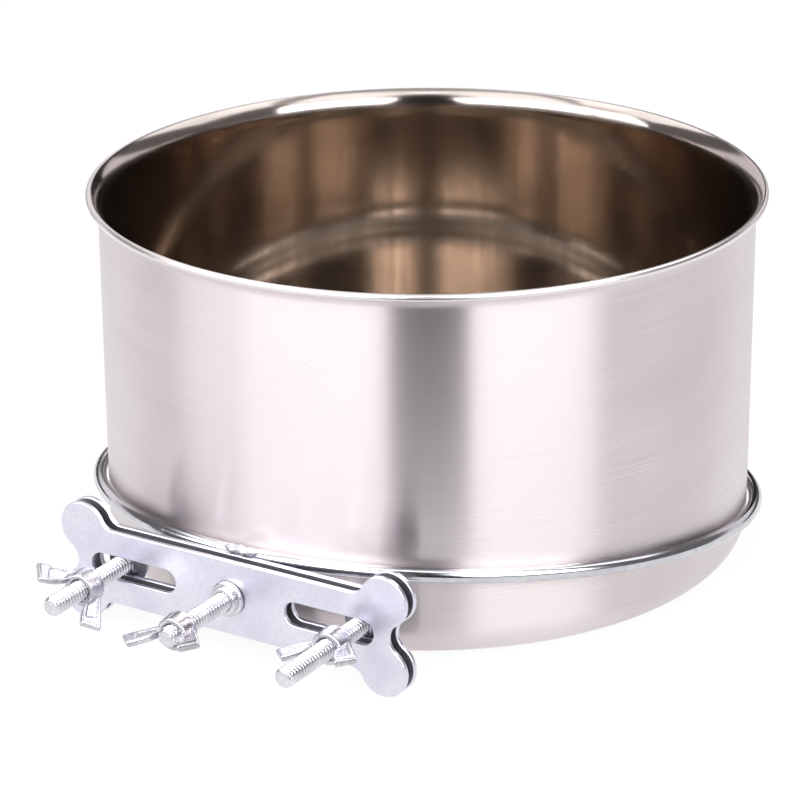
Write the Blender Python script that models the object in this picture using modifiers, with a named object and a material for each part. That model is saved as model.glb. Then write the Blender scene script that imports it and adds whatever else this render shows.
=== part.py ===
"""Hanging pet bowl: a drawn steel bowl in a wire hoop that is welded to a two-plate cage clamp.

Metres, +Z up. The origin is the middle of the bowl's flat underside, which stands on the same
surface as the clamp's lower lobes. The clamp is on the -Y side and its bolts point along -Y.
"""

import math

import bmesh
import bpy
from mathutils import Euler, Matrix, Vector

# Bowl, one drawn sheet with a flared and rolled rim
BOWL_RADIUS = 0.0803
BOWL_HEIGHT = 0.0912
BOWL_WALL = 0.0008
BOWL_CORNER_RADIUS = 0.0080
RIM_FLARE_RADIUS = 0.0050
RIM_FLARE_ANGLE = math.radians(58)
RIM_BEAD_RADIUS = 0.0009

# Wire hoop round the bowl, slightly oval so that it hugs the wall although it droops
WIRE_DIAMETER = 0.0034
HOOP_CLEARANCE = 0.0004
HOOP_BELOW_PLATE_EDGE = 0.0009
HOOP_FLOOR_GAP = 0.0003
HOOP_ROLL = math.radians(-1.6)
WELD_LENGTH = 0.0068
WELD_RADIUS = 0.0008

# Bone-shaped clamp plates
PLATE_THICKNESS = 0.0012
JAW_OPENING = 0.0024
LOBE_SPACING = 0.0836
LOBE_RADIUS = 0.0062
LOBE_GAP = 0.0047
NOTCH_DEPTH = 0.0047
BAR_HEIGHT = 0.0186
SHOULDER_RADIUS = 0.0035
SLOT_END_WEB = 0.0040
SLOT_CENTRE_WEB = 0.0125

# Carriage bolts
BOLT_DIAMETER = 0.00476
BOLT_TIP_CHAMFER = 0.0005
NECK_MARGIN = 0.0001
HEAD_OVERLAP = 0.0026
HEAD_HEIGHT = 0.0024
HEAD_EDGE = 0.0006
LEFT_BOLT_END_GAP = 0.0029
RIGHT_BOLT_END_GAP = 0.0011
LEFT_BOLT_REACH = 0.0255
CENTRE_BOLT_REACH = 0.0255
RIGHT_BOLT_REACH = 0.0291

# Collar on the front plate that guides it along the centre bolt
COLLAR_FLANGE_MARGIN = 0.0009
COLLAR_FLANGE_HEIGHT = 0.0011
COLLAR_WALL = 0.0007
COLLAR_HEIGHT = 0.0026

# Wing nuts
NUT_WALL = 0.0013
NUT_FLARE = 0.0003
NUT_HEIGHT = 0.0045
NUT_EDGE = 0.0005
WING_FOOT = 0.0005
WING_REACH = 0.0109
WING_RISE = 0.0118
WING_WIDTH = 0.0051
WING_LEAN = math.radians(48)
WING_THICKNESS = 0.0018
WING_RECESS = 0.00035
WING_END_SHARE = 0.7
LEFT_NUT_STANDOFF = 0.0102
CENTRE_NUT_STANDOFF = 0.0187
RIGHT_NUT_STANDOFF = 0.0071
LEFT_NUT_TURN = math.radians(36)
CENTRE_NUT_TURN = math.radians(-9)
RIGHT_NUT_TURN = math.radians(-8.5)

# Clearances
SEAT_GAP = 0.0003
SLOT_CLEARANCE = 0.0005
THREAD_CLEARANCE = 0.0003

# Facets
TURN_STEPS = 72
WIRE_STEPS = 96
WIRE_SIDES = 10
BOLT_STEPS = 24
MERGE_DISTANCE = 0.00001

# Sizes and places that follow from the values above
wire_radius = WIRE_DIAMETER / 2
bolt_radius = BOLT_DIAMETER / 2
lobe_rise = LOBE_RADIUS + LOBE_GAP / 2
plate_z = lobe_rise + LOBE_RADIUS
plate_top = plate_z + BAR_HEIGHT / 2
hoop_front_z = plate_top - HOOP_BELOW_PLATE_EDGE
hoop_half_rise = (hoop_front_z - wire_radius - HOOP_FLOOR_GAP) / 2
hoop_side_radius = BOWL_RADIUS + HOOP_CLEARANCE + wire_radius
hoop_radius = math.hypot(hoop_side_radius, hoop_half_rise)
hoop_droop = -math.asin(hoop_half_rise / hoop_radius)
hoop_turn = Euler((hoop_droop, HOOP_ROLL, 0))
hoop_front_y = -hoop_radius * math.cos(hoop_droop)
hoop_pitch_fall = hoop_radius * math.sin(hoop_droop) * math.cos(HOOP_ROLL)
hoop_lowest = math.hypot(hoop_side_radius * math.sin(HOOP_ROLL), hoop_pitch_fall)
hoop_z = wire_radius + HOOP_FLOOR_GAP + hoop_lowest
rear_back_y = hoop_front_y - wire_radius - SEAT_GAP
rear_front_y = rear_back_y - PLATE_THICKNESS
front_back_y = rear_front_y - JAW_OPENING
front_face_y = front_back_y - PLATE_THICKNESS
neck_half = bolt_radius + NECK_MARGIN
slot_radius = neck_half + SLOT_CLEARANCE
bolt_hole_radius = bolt_radius + SEAT_GAP
waist_half = LOBE_SPACING / 2 + LOBE_RADIUS - NOTCH_DEPTH
slot_outer = waist_half - SLOT_END_WEB
slot_inner = bolt_hole_radius + SLOT_CENTRE_WEB
neck_corner_room = slot_radius - math.sqrt(slot_radius**2 - neck_half**2)
bolt_outer_limit = slot_outer - neck_corner_room - neck_half - SEAT_GAP
left_bolt_x = -(bolt_outer_limit - LEFT_BOLT_END_GAP)
right_bolt_x = bolt_outer_limit - RIGHT_BOLT_END_GAP
nut_bore = bolt_radius + THREAD_CLEARANCE
nut_top_radius = nut_bore + NUT_WALL
nut_base_radius = nut_top_radius + NUT_FLARE

# Local +Z of a turned piece points along world -Y
ALONG_BOLT = Euler((math.radians(90), 0, 0))


def clear_scene():
    for obj in list(bpy.data.objects):
        bpy.data.objects.remove(obj, do_unlink=True)


def new_collection(name):
    collection = bpy.data.collections.new(name)
    bpy.context.scene.collection.children.link(collection)
    return collection


def metal(name, colour, roughness):
    material = bpy.data.materials.new(name)
    material.use_nodes = True
    shader = material.node_tree.nodes["Principled BSDF"]
    shader.inputs["Base Color"].default_value = (*colour, 1.0)
    shader.inputs["Metallic"].default_value = 1.0
    shader.inputs["Roughness"].default_value = roughness
    return material


def add_object(name, data, collection, material=None, location=(0, 0, 0), rotation=None):
    obj = bpy.data.objects.new(name, data)
    obj.location = location
    obj.rotation_euler = rotation or Euler((0, 0, 0))
    if material:
        data.materials.append(material)
    collection.objects.link(obj)
    return obj


def add_helper(name, data, collection, parent):
    """A solid that is cut from or joined to a part and isn't a part itself."""
    obj = add_object(name, data, collection)
    obj.matrix_world = parent.matrix_basis
    obj.hide_render = True
    obj.display_type = "WIRE"
    return obj


def join(obj, helper, operation):
    modifier = obj.modifiers.new(helper.name, "BOOLEAN")
    modifier.operation = operation
    modifier.solver = "EXACT"
    modifier.object = helper


def arc(centre, radius, start, end, steps):
    """Points on an arc from start to end, in radians, both ends included."""
    turns = [start + (end - start) * i / steps for i in range(steps + 1)]
    return [(centre[0] + radius * math.cos(t), centre[1] + radius * math.sin(t)) for t in turns]


def profile_mesh(name, profile, closed):
    """A line through points (radius, height) that run down the piece's outer side."""
    mesh = bpy.data.meshes.new(name)
    shape = bmesh.new()
    points = [shape.verts.new((x, 0, z)) for x, z in profile]
    ends = points[1:] + points[:1] if closed else points[1:]
    for first, second in zip(points, ends):
        shape.edges.new((first, second))
    shape.to_mesh(mesh)
    shape.free()
    return mesh


def add_turned(name, profile, steps, collection, material, closed=False, **place):
    mesh = profile_mesh(name, profile, closed)
    obj = add_object(name, mesh, collection, material, **place)
    screw = obj.modifiers.new("turn", "SCREW")
    screw.axis = "Z"
    screw.steps = screw.render_steps = steps
    screw.use_merge_vertices = True
    screw.merge_threshold = MERGE_DISTANCE
    screw.use_smooth_shade = True
    return obj


def loft(name, sections):
    """A closed mesh through rings of equally many points, with a flat cap at each end."""
    mesh = bpy.data.meshes.new(name)
    shape = bmesh.new()
    rings = [[shape.verts.new(point) for point in section] for section in sections]
    for ring, following in zip(rings, rings[1:]):
        for i, point in enumerate(ring):
            j = (i + 1) % len(ring)
            shape.faces.new((point, ring[j], following[j], following[i]))
    shape.faces.new(rings[0])
    shape.faces.new(rings[-1])
    bmesh.ops.recalc_face_normals(shape, faces=shape.faces)
    shape.to_mesh(mesh)
    shape.free()
    return mesh


def box(name, low, high):
    mesh = bpy.data.meshes.new(name)
    shape = bmesh.new()
    size = Vector(high) - Vector(low)
    middle = (Vector(high) + Vector(low)) / 2
    place = Matrix.Translation(middle) @ Matrix.Diagonal((*size, 1))
    bmesh.ops.create_cube(shape, size=1, matrix=place)
    shape.to_mesh(mesh)
    shape.free()
    return mesh


def bowl_profile():
    """From the floor's inner centre up the inside, over the bead and down the outside.

    The wall flares out along an arc into the bead. Outside, the flare runs along a smaller arc
    about the same centre and ends where it meets the bead's circle.
    """
    inner_corner = BOWL_CORNER_RADIUS - BOWL_WALL
    corner_x = BOWL_RADIUS - BOWL_CORNER_RADIUS
    outer_flare = RIM_FLARE_RADIUS - BOWL_WALL
    flare_to_bead = RIM_FLARE_RADIUS - RIM_BEAD_RADIUS
    bead_z = BOWL_HEIGHT - RIM_BEAD_RADIUS
    flare = (BOWL_RADIUS + outer_flare, bead_z - flare_to_bead * math.sin(RIM_FLARE_ANGLE))
    flare_end = math.pi - RIM_FLARE_ANGLE
    bead = (flare[0] + flare_to_bead * math.cos(flare_end), bead_z)
    meet_cos = (outer_flare**2 + flare_to_bead**2 - RIM_BEAD_RADIUS**2) / (2 * outer_flare * flare_to_bead)
    meet = flare_end + math.acos(meet_cos)
    meet_x = flare[0] + outer_flare * math.cos(meet)
    meet_z = flare[1] + outer_flare * math.sin(meet)
    bead_end = math.atan2(meet_z - bead[1], meet_x - bead[0])
    return [
        (0, BOWL_WALL),
        *arc((corner_x, BOWL_CORNER_RADIUS), inner_corner, math.radians(-90), 0, 5),
        *arc(flare, RIM_FLARE_RADIUS, math.pi, flare_end, 6),
        *arc(bead, RIM_BEAD_RADIUS, flare_end, bead_end, 10)[1:],
        *arc(flare, outer_flare, meet, math.pi, 5)[1:],
        *arc((corner_x, BOWL_CORNER_RADIUS), BOWL_CORNER_RADIUS, 0, math.radians(-90), 6),
        (0, 0),
    ]


def plate_quarter():
    """The plate's outline from the middle of its top edge to the notch at its +X end."""
    half_bar = BAR_HEIGHT / 2
    lobe = (LOBE_SPACING / 2, lobe_rise)
    shoulder_z = half_bar + SHOULDER_RADIUS
    reach = LOBE_RADIUS + SHOULDER_RADIUS
    shoulder = (lobe[0] - math.sqrt(reach**2 - (shoulder_z - lobe[1]) ** 2), shoulder_z)
    to_lobe = math.atan2(lobe[1] - shoulder[1], lobe[0] - shoulder[0])
    from_shoulder = to_lobe + math.pi
    waist = waist_half - lobe[0]
    notch_radius = (lobe_rise**2 + waist**2 - LOBE_RADIUS**2) / (2 * (LOBE_RADIUS - waist))
    notch = (waist_half + notch_radius, 0)
    to_notch = math.atan2(-lobe[1], notch[0] - lobe[0])
    return [
        *arc(shoulder, SHOULDER_RADIUS, math.radians(-90), to_lobe, 5),
        *arc(lobe, LOBE_RADIUS, from_shoulder, to_notch, 16)[1:],
        *arc(notch, notch_radius, to_notch + math.pi, math.pi, 5)[1:],
    ]


def plate_outline():
    quarter = plate_quarter()
    lower = [(x, -y) for x, y in reversed(quarter[:-1])]
    right = quarter + lower
    return right + [(-x, y) for x, y in reversed(right)]


def slot_outline(side):
    """A slot with round ends, on the +X side for 1 and on the -X side for -1."""
    ends = (slot_inner + slot_radius, slot_outer - slot_radius)
    right = arc((ends[1], 0), slot_radius, math.radians(-90), math.radians(90), 10)
    left = arc((ends[0], 0), slot_radius, math.radians(90), math.radians(270), 10)
    return [(side * x, y) for x, y in right + left]


def square_outline(half):
    return [(-half, -half), (half, -half), (half, half), (-half, half)]


def add_plate(name, middle_y, centre_hole, collection, material):
    """A flat stamped plate in the XZ plane with its two slots and its centre hole."""
    curve = bpy.data.curves.new(name, "CURVE")
    curve.dimensions = "2D"
    curve.fill_mode = "BOTH"
    curve.extrude = PLATE_THICKNESS / 2
    for outline in (plate_outline(), slot_outline(-1), slot_outline(1), centre_hole):
        spline = curve.splines.new("POLY")
        spline.points.add(len(outline) - 1)
        for point, (x, y) in zip(spline.points, outline):
            point.co = (x, y, 0, 1)
        spline.use_cyclic_u = True
    place = dict(location=(0, middle_y, plate_z), rotation=ALONG_BOLT)
    return add_object(name, curve, collection, material, **place)


def add_hoop(collection, material):
    bpy.ops.mesh.primitive_torus_add(
        major_radius=hoop_radius,
        minor_radius=wire_radius,
        major_segments=WIRE_STEPS,
        minor_segments=WIRE_SIDES,
        location=(0, 0, hoop_z),
        rotation=hoop_turn,
    )
    hoop = bpy.context.object
    hoop.name = hoop.data.name = "wire_hoop"
    hoop.data.transform(Matrix.Diagonal((hoop_side_radius / hoop_radius, 1, 1, 1)))
    for holder in list(hoop.users_collection):
        holder.objects.unlink(hoop)
    collection.objects.link(hoop)
    hoop.data.materials.append(material)
    hoop.data.shade_smooth()
    return hoop


def add_weld(collection, material):
    """The bead in the valley between the hoop and the rear plate's top edge."""
    weld_z = plate_top + SEAT_GAP + WELD_RADIUS
    spread = wire_radius + SEAT_GAP + WELD_RADIUS
    rise = weld_z - (hoop_z - hoop_radius * math.sin(hoop_droop))
    weld_y = hoop_front_y - math.sqrt(spread**2 - rise**2)
    mesh = bpy.data.meshes.new("hoop_weld")
    shape = bmesh.new()
    size = Matrix.Diagonal((WELD_LENGTH / 2, WELD_RADIUS, WELD_RADIUS, 1))
    bmesh.ops.create_uvsphere(shape, u_segments=16, v_segments=10, radius=1, matrix=size)
    shape.to_mesh(mesh)
    shape.free()
    mesh.shade_smooth()
    return add_object("hoop_weld", mesh, collection, material, location=(0, weld_y, weld_z))


def add_bolt(name, x, reach, parts, cutters, material):
    """A carriage bolt: domed head behind the rear plate, square neck in its slot, plain shank."""
    under_head = -SEAT_GAP
    tip = rear_back_y - front_face_y + reach
    head_radius = slot_radius + HEAD_OVERLAP
    crown = HEAD_HEIGHT - HEAD_EDGE
    dome_radius = (head_radius**2 + crown**2) / (2 * crown)
    dome_z = under_head - HEAD_HEIGHT + dome_radius
    half_angle = math.asin(head_radius / dome_radius)
    down = math.radians(-90)
    profile = [
        (0, tip),
        (bolt_radius - BOLT_TIP_CHAMFER, tip),
        (bolt_radius, tip - BOLT_TIP_CHAMFER),
        (bolt_radius, under_head),
        (head_radius, under_head),
        *arc((0, dome_z), dome_radius, down + half_angle, down, 5)[:-1],
        (0, under_head - HEAD_HEIGHT),
    ]
    place = dict(location=(x, rear_back_y, plate_z), rotation=ALONG_BOLT)
    bolt = add_turned(name, profile, BOLT_STEPS, parts, material, **place)
    low = (-neck_half, -neck_half, under_head - HEAD_EDGE / 2)
    neck = box(name + "_neck", low, (neck_half, neck_half, PLATE_THICKNESS))
    join(bolt, add_helper(name + "_neck", neck, cutters, bolt), "UNION")
    return bolt


def add_collar(collection, material):
    inner = bolt_hole_radius
    neck = inner + COLLAR_WALL
    flange = neck + COLLAR_FLANGE_MARGIN
    profile = [
        (inner, COLLAR_HEIGHT),
        (neck, COLLAR_HEIGHT),
        (neck, COLLAR_FLANGE_HEIGHT),
        (flange - COLLAR_FLANGE_HEIGHT / 2, COLLAR_FLANGE_HEIGHT),
        (flange, COLLAR_FLANGE_HEIGHT / 2),
        (flange, 0),
        (inner, 0),
    ]
    place = dict(location=(0, front_face_y - SEAT_GAP, plate_z), rotation=ALONG_BOLT)
    return add_turned("centre_collar", profile, BOLT_STEPS, collection, material, True, **place)


def between(first, middle, last, share):
    """The point at this share of the curve from first to last that leans towards middle."""
    weights = ((1 - share) ** 2, 2 * share * (1 - share), share**2)
    return [sum(w * p[i] for w, p in zip(weights, (first, middle, last))) for i in range(2)]


def wing_ring(recess):
    """Points round a section of a wing, as (share of its width, share of its half thickness).

    The section is full at its two edges and thinner by this share between them.
    """
    panel = 1 - recess
    face = [(0.0, 0.45), (0.06, 1.0), (0.2, 1.0), (0.28, panel)]
    face += [(1 - x, y) for x, y in reversed(face)]
    return face + [(x, -y) for x, y in reversed(face)]


def wing_sections():
    """Rings across one wing, each between an edge near the base and an edge near the axis.

    Both edges leave the hub along its side and bend outwards and forwards to the wing's end,
    which is a full pad beyond the recessed faces.
    """
    root = nut_bore + NUT_WALL / 2
    lower_end = (WING_REACH, WING_RISE - WING_WIDTH * math.cos(WING_LEAN))
    upper_end = (WING_REACH - WING_WIDTH * math.sin(WING_LEAN), WING_RISE)
    lower = ((root, WING_FOOT), (nut_base_radius, WING_FOOT), lower_end)
    upper_foot = NUT_HEIGHT - WING_FOOT
    upper = ((root, upper_foot), (root, (upper_foot + WING_RISE) / 2), upper_end)
    recess = 2 * WING_RECESS / WING_THICKNESS
    stations = ((0, 0, 1), (0.3, 0, 1), (0.4, recess, 1), (0.62, recess, 1),
                (0.84, recess, 1), (0.89, 0, 1), (0.97, 0, 1), (1, 0, WING_END_SHARE))
    sections = []
    for share, depth, fullness in stations:
        a = Vector(between(*lower, share))
        b = Vector(between(*upper, share))
        half = WING_THICKNESS / 2 * fullness
        ring = []
        for along, across in wing_ring(depth):
            point = a.lerp(b, along)
            ring.append((point.x, across * half, point.y))
        sections.append(ring)
    return sections


def add_wing_nut(name, x, standoff, turn, parts, cutters, material):
    """A cast nut: a flared hub with a bore and two wings that bend forwards."""
    shoulder = (nut_top_radius - NUT_EDGE, NUT_HEIGHT - NUT_EDGE)
    profile = [
        (nut_bore, NUT_HEIGHT),
        *arc(shoulder, NUT_EDGE, math.radians(90), 0, 3),
        (nut_base_radius, NUT_EDGE * 2),
        (nut_base_radius, NUT_EDGE / 2),
        (nut_base_radius - NUT_EDGE / 2, 0),
        (nut_bore, 0),
    ]
    rotation = (Matrix.Rotation(turn, 3, "Y") @ ALONG_BOLT.to_matrix()).to_euler()
    place = dict(location=(x, front_face_y - standoff, plate_z), rotation=rotation)
    nut = add_turned(name, profile, BOLT_STEPS, parts, material, True, **place)
    for side, label in ((1, "_wing_a"), (-1, "_wing_b")):
        sections = [[(side * px, py, pz) for px, py, pz in ring] for ring in wing_sections()]
        wing = add_helper(name + label, loft(name + label, sections), cutters, nut)
        join(nut, wing, "UNION")
    return nut


def main():
    clear_scene()
    parts = new_collection("hanging_bowl")
    cutters = new_collection("cutters")
    steel = metal("brushed stainless steel", (0.62, 0.58, 0.56), 0.28)
    wire = metal("bright plated wire", (0.72, 0.72, 0.73), 0.18)
    plate = metal("satin plated sheet", (0.70, 0.70, 0.74), 0.38)
    zinc = metal("zinc plated fastener", (0.80, 0.80, 0.78), 0.30)

    add_turned("bowl", bowl_profile(), TURN_STEPS, parts, steel)
    add_hoop(parts, wire)
    add_weld(parts, wire)
    rear_y = rear_back_y - PLATE_THICKNESS / 2
    front_y = front_back_y - PLATE_THICKNESS / 2
    neck_hole = square_outline(neck_half + SEAT_GAP)
    round_hole = arc((0, 0), bolt_hole_radius, 0, math.tau, BOLT_STEPS)[:-1]
    add_plate("rear_plate", rear_y, neck_hole, parts, plate)
    add_plate("front_plate", front_y, round_hole, parts, plate)
    add_collar(parts, zinc)

    fasteners = (
        ("left", left_bolt_x, LEFT_BOLT_REACH, LEFT_NUT_STANDOFF, LEFT_NUT_TURN),
        ("centre", 0, CENTRE_BOLT_REACH, CENTRE_NUT_STANDOFF, CENTRE_NUT_TURN),
        ("right", right_bolt_x, RIGHT_BOLT_REACH, RIGHT_NUT_STANDOFF, RIGHT_NUT_TURN),
    )
    for side, x, reach, standoff, turn in fasteners:
        add_bolt(side + "_bolt", x, reach, parts, cutters, zinc)
        add_wing_nut(side + "_wing_nut", x, standoff, turn, parts, cutters, zinc)


main()
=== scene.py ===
"""Looks of a hanging pet bowl: a brushed steel bowl in a wire hoop on a two-plate cage clamp.

Every piece is a surface worked out with numpy from the real sizes, in metres, in the same frame
as the solids: the bowl's axis is +Z, the clamp is on the -Y side and its bolts point along -Y.
"""

import logging
import math
from collections.abc import Sequence
from dataclasses import dataclass
from enum import Enum

import bmesh
import bpy
import numpy as np
from mathutils import Euler, Matrix, Vector
from mathutils.geometry import tessellate_polygon


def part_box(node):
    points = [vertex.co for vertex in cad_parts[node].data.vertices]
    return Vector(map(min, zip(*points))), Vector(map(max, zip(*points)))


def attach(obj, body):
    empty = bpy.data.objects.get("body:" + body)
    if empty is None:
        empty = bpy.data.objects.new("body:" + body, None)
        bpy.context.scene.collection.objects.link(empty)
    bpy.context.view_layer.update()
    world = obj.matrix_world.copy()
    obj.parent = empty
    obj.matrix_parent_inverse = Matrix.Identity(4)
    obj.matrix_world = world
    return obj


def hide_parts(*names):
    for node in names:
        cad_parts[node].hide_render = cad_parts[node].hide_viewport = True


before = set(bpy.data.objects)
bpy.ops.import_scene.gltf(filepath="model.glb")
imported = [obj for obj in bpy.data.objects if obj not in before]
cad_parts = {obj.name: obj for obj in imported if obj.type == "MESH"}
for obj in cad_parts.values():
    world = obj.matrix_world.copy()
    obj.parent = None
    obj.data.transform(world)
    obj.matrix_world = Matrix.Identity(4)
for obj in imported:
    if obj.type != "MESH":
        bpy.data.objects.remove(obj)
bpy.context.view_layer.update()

LOG = logging.getLogger("hanging_bowl")
MM = 0.001
TURN = 2 * math.pi
QUARTER_TURN = math.pi / 2
UV_NAME = "surface_mm"
MERGE_WITHIN = 0.001 * MM
Points = np.ndarray


class Body(Enum):
    """The rigid bodies that pieces ride on."""

    HOLDER = "holder"
    BOWL = "bowl"
    CLAMP_PLATE = "clamp_plate"
    LEFT_BOLT = "left_bolt"
    RIGHT_BOLT = "right_bolt"
    LEFT_NUT = "left_wing_nut"
    CENTRE_NUT = "centre_wing_nut"
    RIGHT_NUT = "right_wing_nut"


class Slot(Enum):
    """The record's material slots."""

    BOWL = "bowl_steel"
    WIRE = "plated_wire"
    SHEET = "plate_sheet"
    FASTENER = "zinc_fastener"


class CentreHole(Enum):
    """What a clamp plate's centre hole takes: a bolt's square neck or its round shank."""

    SQUARE = "square"
    ROUND = "round"


def linear(code: str) -> tuple[float, float, float, float]:
    """A colour as shaders take it, by the sRGB curve.

    Args:
        code: six hexadecimal digits of an sRGB colour.

    Returns:
        Linear red, green and blue, and an alpha of 1.
    """
    shares = [int(code[i : i + 2], 16) / 255 for i in (0, 2, 4)]
    bright = [s / 12.92 if s <= 0.04045 else ((s + 0.055) / 1.055) ** 2.4 for s in shares]
    return (bright[0], bright[1], bright[2], 1.0)


def add_node(
    tree: bpy.types.NodeTree, kind: str, inputs: dict | None = None, **settings: object
) -> bpy.types.Node:
    """A shader node with its settings, and with each input set or linked.

    Args:
        tree: the node tree it goes into.
        kind: the node's type.
        inputs: socket name or number to a value, or to the socket that is linked to it.
        settings: the node's own properties.

    Returns:
        The new node.
    """
    node = tree.nodes.new(kind)
    for name, value in settings.items():
        setattr(node, name, value)
    for key, value in (inputs or {}).items():
        if isinstance(value, bpy.types.NodeSocket):
            tree.links.new(value, node.inputs[key])
        else:
            node.inputs[key].default_value = value
    return node


def new_material(name: str) -> tuple[bpy.types.Material, bpy.types.NodeTree, bpy.types.Node]:
    """A node material with nothing in it but its output.

    Args:
        name: the material's name.

    Returns:
        The material, its node tree and its output node.
    """
    material = bpy.data.materials.new(name)
    material.use_nodes = True
    material.node_tree.nodes.clear()
    return material, material.node_tree, add_node(material.node_tree, "ShaderNodeOutputMaterial")


@dataclass(frozen=True)
class MetalFinish:
    """A metal whose tone, gloss and relief follow two fields of noise in real millimetres.

    The grain is the mark of the last working of the surface: its three lengths are how far a
    mark runs along X, Y and Z, or with by_surface across and along the surface itself. The cloud
    is the broad unevenness that handling and plating leave. Colours and roughness are those of
    fresh metal and then of worn metal. With an anisotropy, light spreads across the marks: up
    and down the wall where they run round it, and round the bowl where marks_up says that they
    stand upright.
    """

    name: str
    colour: str
    worn_colour: str
    roughness: tuple[float, float]
    grain_mm: tuple[float, float, float]
    cloud_mm: float
    grain_height_mm: float
    cloud_height_mm: float = 0.0
    anisotropy: float = 0.0
    marks_up: bool = False
    by_surface: bool = False
    grain_detail: float = 3.0
    cloud_detail: float = 2.0
    octave_share: float = 0.55
    worn_below: float = 0.1
    fresh_above: float = 0.45

    def noise(
        self, tree: bpy.types.NodeTree, sizes_mm: Sequence[float], detail: float
    ) -> bpy.types.NodeSocket:
        """Noise whose features have these sizes.

        Args:
            tree: the material's node tree.
            sizes_mm: feature lengths along the three coordinates.
            detail: octaves of finer noise.

        Returns:
            The socket with the noise, from 0 to 1.
        """
        coordinates = add_node(tree, "ShaderNodeTexCoord")
        unit = 1.0 if self.by_surface else 1 / MM
        scale = tuple(unit / size for size in sizes_mm)
        source = coordinates.outputs["UV" if self.by_surface else "Object"]
        placed = add_node(tree, "ShaderNodeMapping", {"Vector": source, "Scale": scale})
        inputs = {
            "Vector": placed.outputs["Vector"], "Scale": 1.0,
            "Detail": detail, "Roughness": self.octave_share,
        }
        return add_node(tree, "ShaderNodeTexNoise", inputs).outputs["Fac"]

    def build(self) -> bpy.types.Material:
        """Works out the finish: fresh and glossy where grain times cloud is high, else worn.

        Returns:
            The finished material.
        """
        material, tree, output = new_material(self.name)
        grain = self.noise(tree, self.grain_mm, self.grain_detail)
        cloud = self.noise(tree, (self.cloud_mm,) * 3, self.cloud_detail)
        both = add_node(tree, "ShaderNodeMath", {0: grain, 1: cloud}, operation="MULTIPLY")
        fresh = add_node(
            tree, "ShaderNodeMapRange",
            {"Value": both.outputs[0], "From Min": self.worn_below, "From Max": self.fresh_above},
        ).outputs["Result"]
        tone = add_node(
            tree, "ShaderNodeMix",
            {"Factor": fresh, "A": linear(self.worn_colour), "B": linear(self.colour)},
            data_type="RGBA",
        )
        fresh_rough, worn_rough = self.roughness
        rough = add_node(
            tree, "ShaderNodeMapRange", {"Value": fresh, "To Min": worn_rough, "To Max": fresh_rough}
        )
        bump = add_node(
            tree, "ShaderNodeBump",
            {"Strength": 1.0, "Distance": self.grain_height_mm * MM, "Height": grain},
        )
        if self.cloud_height_mm:
            broad = add_node(
                tree, "ShaderNodeBump",
                {"Strength": 1.0, "Distance": self.cloud_height_mm * MM, "Height": cloud},
            )
            tree.links.new(broad.outputs["Normal"], bump.inputs["Normal"])
        inputs = {
            "Base Color": tone.outputs["Result"],
            "Metallic": 1.0,
            "Roughness": rough.outputs["Result"],
            "Normal": bump.outputs["Normal"],
            "Anisotropic": self.anisotropy,
        }
        if self.anisotropy:
            tangent = add_node(tree, "ShaderNodeTangent", direction_type="UV_MAP", uv_map=UV_NAME)
            inputs["Tangent"] = tangent.outputs["Tangent"]
            # a share of a turn from the direction that runs round the bowl
            inputs["Anisotropic Rotation"] = 0.0 if self.marks_up else 0.25
        shader = add_node(tree, "ShaderNodeBsdfPrincipled", inputs)
        tree.links.new(shader.outputs["BSDF"], output.inputs["Surface"])
        return material


# Belt-brushed round the wall: fine level lines that draw each reflection out up and down.
# Real belt lines are about 0.05 mm wide, and these are drawn coarser so that they show
WALL = MetalFinish(
    "steel wall brushed round", "e1d9da", "d7cdcf", roughness=(0.27, 0.33),
    grain_mm=(45.0, 45.0, 0.22), cloud_mm=45.0, grain_height_mm=0.0018, anisotropy=0.97,
)
# Left as the press drew it: a warm near mirror with upright draw marks, which bends what it shows
INSIDE = MetalFinish(
    "steel inside bright drawn", "d6cdc5", "b0a59b", roughness=(0.070, 0.105),
    grain_mm=(1.8, 1.8, 60.0), cloud_mm=26.0, grain_height_mm=0.0012, cloud_height_mm=0.02,
    anisotropy=0.78, marks_up=True,
)
# The inside corner, painted shade: darker than what it joins, so it shows as an arc
CORNER_PAINTED_SHADE = MetalFinish(
    "steel corner painted shade", "7c736b", "706760", roughness=(0.06, 0.09),
    grain_mm=(30.0, 30.0, 0.6), cloud_mm=38.0, grain_height_mm=0.0004,
)
# Turned while it spins: faint rings round the middle of the floor and of the underside
FLOOR = MetalFinish(
    "steel floor spun", "c3bab1", "b6aba1", roughness=(0.11, 0.17),
    grain_mm=(90.0, 0.5, 1.0), cloud_mm=30.0, grain_height_mm=0.0012, by_surface=True,
)
# Flared by a roller and brushed round: each lamp fades down into the dark inside.
# Its lines, like the wall's, are drawn coarser so that they show
FLARE = MetalFinish(
    "steel flare brushed round", "c3bab6", "b7ada8", roughness=(0.12, 0.18),
    grain_mm=(30.0, 30.0, 0.3), cloud_mm=30.0, grain_height_mm=0.0010, anisotropy=0.95,
)
# Rolled and buffed: the brightest line on the bowl
BEAD = MetalFinish(
    "steel rim buffed", "efe9ea", "e3dcdc", roughness=(0.24, 0.32),
    grain_mm=(25.0, 25.0, 1.5), cloud_mm=30.0, grain_height_mm=0.0008,
)
# Drawn wire under bright plating: long dark and white lines with small ripples
WIRE = MetalFinish(
    "wire bright plated", "d8d8dc", "c0c0c6", roughness=(0.10, 0.18),
    grain_mm=(2.5, 2.5, 2.5), cloud_mm=14.0, grain_height_mm=0.0012, cloud_height_mm=0.02,
)
# Tumbled then plated: a soft even sheen with a faint bluish cloud. Tumbling marks are about
# 0.1 mm long, and these are drawn coarser so that they show
SHEET = MetalFinish(
    "sheet satin plated", "eae9f4", "d3d2e0", roughness=(0.30, 0.42),
    grain_mm=(0.5, 0.5, 0.5), cloud_mm=11.0, grain_height_mm=0.0022, cloud_height_mm=0.01,
)
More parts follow.
